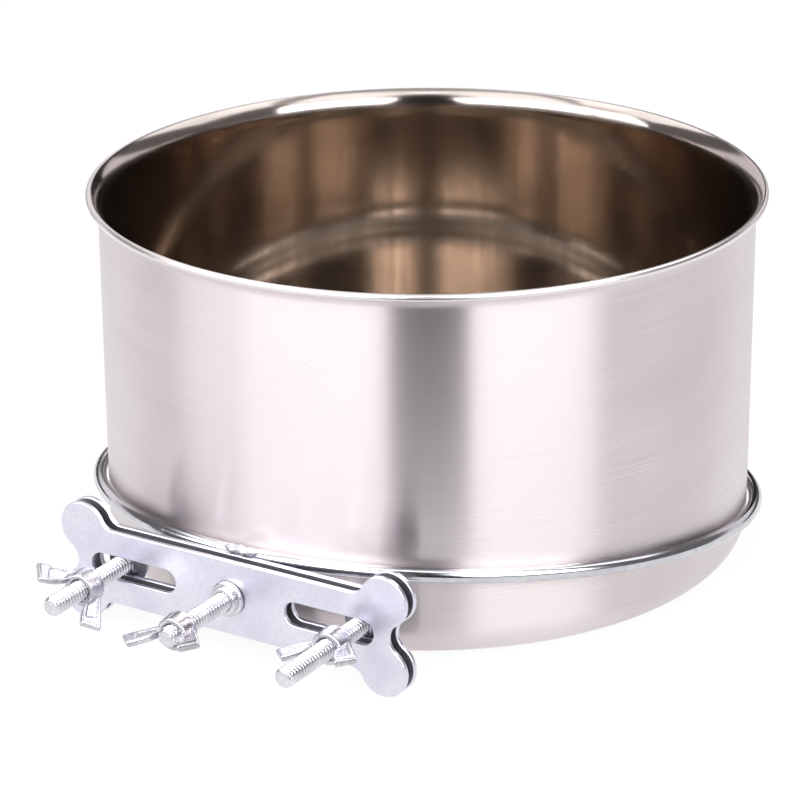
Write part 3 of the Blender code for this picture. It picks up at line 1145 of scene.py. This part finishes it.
    def build(self) -> bpy.types.Object:
        """Makes the nut where its solid is, turned as it stands on its bolt.

        Returns:
            The piece.
        """
        x, _, z = box_middle(self.bolt)
        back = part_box(self.node)[1][1]
        mesh = self.cast(make_mesh(self.node + "_shells", [self.hub(), self.wing(1), self.wing(-1)]))
        lie = Matrix.Rotation(QUARTER_TURN, 4, "X")
        spin = Matrix.Rotation(self.turn, 4, "Y")
        mesh.transform(Matrix.Translation((x, back, z)) @ spin @ lie)
        return add_piece(self.node + "_cast", mesh, (NUT_ZINC,), self.body, self.node)


@dataclass(frozen=True)
class Lamp:
    """A rectangular lamp that faces the bowl.

    Its bearing is in degrees to the right of the camera's, and its distance from the bowl's
    axis, its height and its two sides are in metres.
    """

    name: str
    bearing: float
    distance: float
    height: float
    size: tuple[float, float]
    watts: float


@dataclass(frozen=True)
class ClothStrip:
    """A strip of black cloth that lies on the table and rises at its far end.

    Its bearing is in degrees to the right of the camera's, and half_width is at the far end.
    """

    name: str
    bearing: float
    half_width: float


LAMPS = (
    Lamp("soft_box_right", 36, 0.95, 0.57, (0.82, 0.6), 10.0),
    Lamp("soft_box_left", -39, 0.95, 0.57, (0.98, 0.6), 12.0),
    Lamp("fill_left", -78, 0.95, 0.52, (0.44, 0.6), 3.0),
    Lamp("high_right", 44, 0.50, 1.15, (0.62, 0.8), 2.2),
    Lamp("high_left", -47, 0.50, 1.15, (0.68, 0.8), 2.4),
    Lamp("side_right", 130, 0.60, 0.83, (0.9, 0.46), 2.1),
    Lamp("side_left", -132, 0.60, 0.85, (0.9, 0.46), 2.2),
    Lamp("ceiling", 0, 0.0, 1.9, (2.6, 2.6), 9.0),
)
STRIPS = (ClothStrip("cloth_front", 0.5, 0.162), ClothStrip("cloth_back", 168.0, 0.11))


@dataclass
class Studio:
    """A white table under soft boxes, with black cloths that only polished metal shows.

    The room is dim, with pale paper behind the bowl. Places are in metres round the bowl's axis.
    """

    eye: tuple[float, float, float] = (0.3981, -0.6586, 0.3361)
    target: tuple[float, float, float] = (-0.00593, -0.00358, 0.03381)
    tilt: float = -0.0067
    lens: float = 148.4
    sensor: float = 36.0
    azimuth: float = math.radians(31.15)
    aim_height: float = 0.04
    table_half: float = 4.0
    table_level: float = -0.2 * MM
    table_colour: str = "f7f7f7"
    table_shown: float = 0.92
    cloth_colour: str = "191919"
    cloth_lift: float = 0.3 * MM
    cloth_near: float = 0.20
    cloth_far: float = 0.76
    cloth_top: float = 1.5
    cloth_taper: float = 0.25
    behind_distance: float = 1.1
    behind_half: float = 1.2
    behind_foot: float = 1.0 * MM
    behind_top: float = 0.2
    paper_colour: str = "f5f0f1"
    paper_light: float = 1.1
    room_light: float = 0.19
    paper_lean: float = 0.85
    paper_below: float = -0.33
    room_above: float = -0.23
    bounces: int = 12

    def camera(self) -> None:
        """Puts the camera where the photograph was taken from."""
        eye, target = Vector(self.eye), Vector(self.target)
        ahead = (target - eye).normalized()
        right = ahead.cross(Vector((0, 0, 1))).normalized()
        up = right.cross(ahead)
        c, s = math.cos(self.tilt), math.sin(self.tilt)
        turned = Matrix((c * right + s * up, c * up - s * right, -ahead)).transposed()
        data = bpy.data.cameras.new("photo_camera")
        data.lens = self.lens
        data.sensor_width = self.sensor
        camera = bpy.data.objects.new("photo_camera", data)
        camera.matrix_world = Matrix.Translation(eye) @ turned.to_4x4()
        bpy.context.scene.collection.objects.link(camera)
        bpy.context.scene.camera = camera

    def beside(self, bearing: float, distance: float, height: float) -> Vector:
        """A place round the bowl, with its bearing in degrees to the right of the camera's."""
        angle = self.azimuth + math.radians(bearing)
        return Vector((distance * math.sin(angle), -distance * math.cos(angle), height))

    def light(self, lamp: Lamp) -> None:
        """Hangs a lamp that faces the bowl.

        Args:
            lamp: where it hangs, its size and its power.
        """
        data = bpy.data.lights.new(lamp.name, "AREA")
        data.shape = "RECTANGLE"
        data.size, data.size_y = lamp.size
        data.energy = lamp.watts
        obj = bpy.data.objects.new(lamp.name, data)
        place = self.beside(lamp.bearing, lamp.distance, lamp.height)
        aim = Vector((0, 0, self.aim_height)) - place
        obj.matrix_world = Matrix.Translation(place) @ aim.to_track_quat("-Z", "Y").to_matrix().to_4x4()
        bpy.context.scene.collection.objects.link(obj)

    def card(self, name: str, corners: Sequence[Vector], material: bpy.types.Material) -> bpy.types.Object:
        """A flat four-cornered card that isn't part of the object.

        Args:
            name: the card's name.
            corners: its corners in order round it.
            material: what it is made of.

        Returns:
            The card.
        """
        mesh = bpy.data.meshes.new(name)
        mesh.from_pydata([tuple(corner) for corner in corners], [], [(0, 1, 2, 3)])
        mesh.materials.append(material)
        obj = bpy.data.objects.new(name, mesh)
        bpy.context.scene.collection.objects.link(obj)
        return obj

    def cloth(self, name: str, corners: Sequence[Vector], material: bpy.types.Material) -> None:
        """A card that shows in reflections only.

        Args:
            name: the card's name.
            corners: its corners in order round it.
            material: what it is made of.
        """
        card = self.card(name, corners, material)
        card.visible_camera = False
        card.visible_shadow = False
        card.visible_diffuse = False

    def laminate(self) -> bpy.types.Material:
        """White laminate: it shows near white itself and still takes a soft shadow.

        Returns:
            The table's material.
        """
        material, tree, output = new_material("table white")
        path = add_node(tree, "ShaderNodeLightPath")
        seen = path.outputs["Is Camera Ray"]
        for ray in ("Is Glossy Ray", "Is Transmission Ray"):
            seen = add_node(
                tree, "ShaderNodeMath", {0: seen, 1: path.outputs[ray]}, operation="MAXIMUM"
            ).outputs[0]
        share = add_node(tree, "ShaderNodeMath", {0: seen, 1: self.table_shown}, operation="MULTIPLY")
        matt = add_node(tree, "ShaderNodeBsdfDiffuse", {"Color": linear(self.table_colour)})
        white = add_node(tree, "ShaderNodeEmission", {"Color": linear("ffffff"), "Strength": 1.0})
        mix = add_node(
            tree, "ShaderNodeMixShader", {0: share.outputs[0], 1: matt.outputs[0], 2: white.outputs[0]}
        )
        tree.links.new(mix.outputs[0], output.inputs["Surface"])
        return material

    def black_cloth(self) -> bpy.types.Material:
        """Black cloth, which polished metal shows as a dark band.

        Returns:
            The cloths' material.
        """
        material, tree, output = new_material("black cloth")
        matt = add_node(tree, "ShaderNodeBsdfDiffuse", {"Color": linear(self.cloth_colour)})
        tree.links.new(matt.outputs[0], output.inputs["Surface"])
        return material

    def cloths(self) -> None:
        """Lays the strips, and a low one far behind the bowl.

        The strips show as upright dark bands in polished metal, and the low one darkens the
        inside of the rim.
        """
        black = self.black_cloth()
        for strip in STRIPS:
            near = self.beside(strip.bearing, self.cloth_near, self.cloth_lift)
            far = self.beside(strip.bearing, self.cloth_far, self.cloth_lift)
            side = far.cross(Vector((0, 0, 1))).normalized()
            narrow, wide = side * strip.half_width * self.cloth_taper, side * strip.half_width
            top = far + Vector((0, 0, self.cloth_top))
            lying = [near - narrow, near + narrow, far + wide, far - wide]
            standing = [far - wide, far + wide, top + wide, top - wide]
            self.cloth(f"{strip.name}_lying", lying, black)
            self.cloth(f"{strip.name}_standing", standing, black)
        side = self.beside(90, self.behind_half, 0)
        low = self.beside(180, self.behind_distance, self.behind_foot)
        high = self.beside(180, self.behind_distance, self.behind_top)
        self.cloth("cloth_behind", [low - side, low + side, high + side, high - side], black)

    def room(self) -> None:
        """A dim room with pale paper behind the bowl, lower at its sides.

        The paper fades into the room where the height of a direction, plus its part towards the
        camera times the lean, rises from paper_below to room_above.
        """
        world = bpy.data.worlds.new("room")
        world.use_nodes = True
        tree = world.node_tree
        direction = add_node(tree, "ShaderNodeTexCoord").outputs["Generated"]
        lean = self.paper_lean
        slope = (lean * math.sin(self.azimuth), -lean * math.cos(self.azimuth), 1.0)
        rise = add_node(tree, "ShaderNodeVectorMath", {0: direction, 1: slope}, operation="DOT_PRODUCT")
        edge = {
            "Value": rise.outputs["Value"], "From Min": self.paper_below, "From Max": self.room_above,
            "To Min": self.paper_light, "To Max": self.room_light,
        }
        light = add_node(tree, "ShaderNodeMapRange", edge, interpolation_type="SMOOTHSTEP")
        background = tree.nodes["Background"]
        background.inputs["Color"].default_value = linear(self.paper_colour)
        tree.links.new(light.outputs["Result"], background.inputs["Strength"])
        bpy.context.scene.world = world

    def build(self) -> None:
        """Makes the camera, the table, the lamps, the cloths and the room."""
        self.camera()
        half, level = self.table_half, self.table_level
        corners = [Vector((x * half, y * half, level)) for x, y in ((-1, -1), (1, -1), (1, 1), (-1, 1))]
        self.card("table", corners, self.laminate())
        for lamp in LAMPS:
            self.light(lamp)
        self.cloths()
        self.room()
        # light passes between the bowl's walls many times before it leaves
        bpy.context.scene.cycles.glossy_bounces = self.bounces
        bpy.context.scene.view_settings.view_transform = "Standard"


def main() -> None:
    """Builds the studio and the pieces, and reports each piece with its number of faces."""
    logging.basicConfig(level=logging.INFO, format="%(name)s %(message)s")
    Studio().build()
    makers = (
        Bowl(),
        WireHoop(),
        HoopWeld(),
        # the rear plate's faces and the front plate's back face take painted shade
        ClampPlate("rear_plate", Body.HOLDER, CentreHole.SQUARE, SHEET_PAINTED_SHADE, SHEET_PAINTED_SHADE),
        ClampPlate("front_plate", Body.CLAMP_PLATE, CentreHole.ROUND, SHEET, SHEET_PAINTED_SHADE),
        Collar(),
        CarriageBolt("left_bolt", Body.LEFT_BOLT),
        CarriageBolt("centre_bolt", Body.HOLDER),
        CarriageBolt("right_bolt", Body.RIGHT_BOLT),
        WingNut("left_wing_nut", "left_bolt", Body.LEFT_NUT, math.radians(36)),
        WingNut("centre_wing_nut", "centre_bolt", Body.CENTRE_NUT, math.radians(-9)),
        WingNut("right_wing_nut", "right_bolt", Body.RIGHT_NUT, math.radians(-8.5)),
    )
    for maker in makers:
        piece = maker.build()
        LOG.info("%s: %d faces", piece.name, len(piece.data.polygons))


if __name__ == "__main__":
    main()
